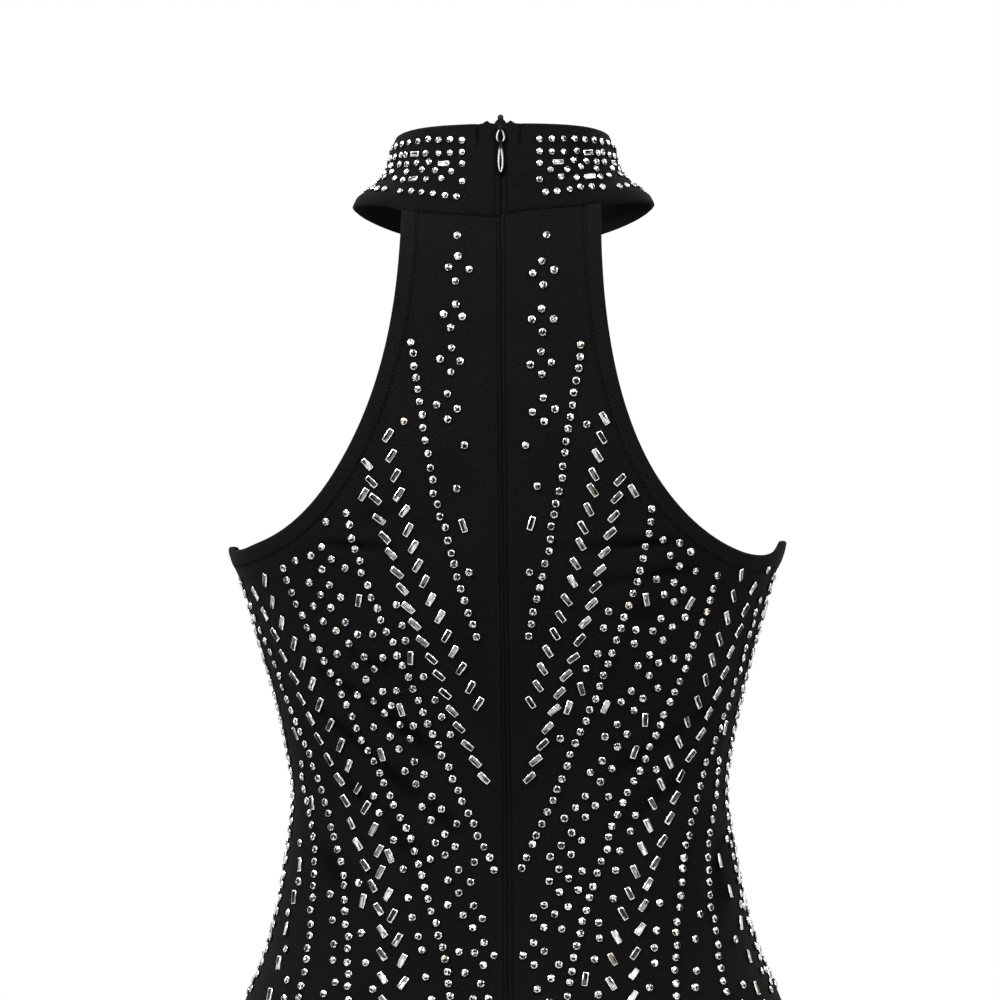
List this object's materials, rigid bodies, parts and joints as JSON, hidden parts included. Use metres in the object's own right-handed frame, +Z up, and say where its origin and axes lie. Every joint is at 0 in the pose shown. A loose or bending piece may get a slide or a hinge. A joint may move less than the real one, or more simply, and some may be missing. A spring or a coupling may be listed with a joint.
{
  "type": "rhinestone jumpsuit",
  "caption": "Sleeveless halter jumpsuit in stretch jersey with a stand collar, cut-away armholes, straight legs and an invisible back zip, standing open as if worn.",
  "frame": {"origin": "the middle of the neck, level with the seam between the collar and the back", "axes": "+Z up, -Y towards the garment's front, +X towards its wearer's left"},
  "size_m": [0.346, 0.2246, 1.3385],
  "materials": {
    "jersey": "matte black stretch jersey",
    "band_jersey": "matte black stretch jersey, doubled",
    "zip_tape": "black knitted zip tape with a nylon coil",
    "lacquered_metal": "glossy black lacquer on metal"
  },
  "bodies": {
    "garment": {"back_left": "jersey", "back_right": "jersey", "front_left": "jersey", "front_right": "jersey", "armhole_band_left": "band_jersey", "armhole_band_right": "band_jersey", "collar": "jersey", "zip_tape_left": "zip_tape", "zip_tape_right": "zip_tape", "zip_slider": "lacquered_metal"},
    "pull": {"zip_pull": "lacquered_metal"}
  },
  "joints": [
    {"name": "zip_pull_hinge", "type": "hinge", "parent": "garment", "child": "pull", "pos_m": [0, 0.04761, 0.04147], "axis": [1, 0, 0], "range_deg": [0, 150]}
  ]
}
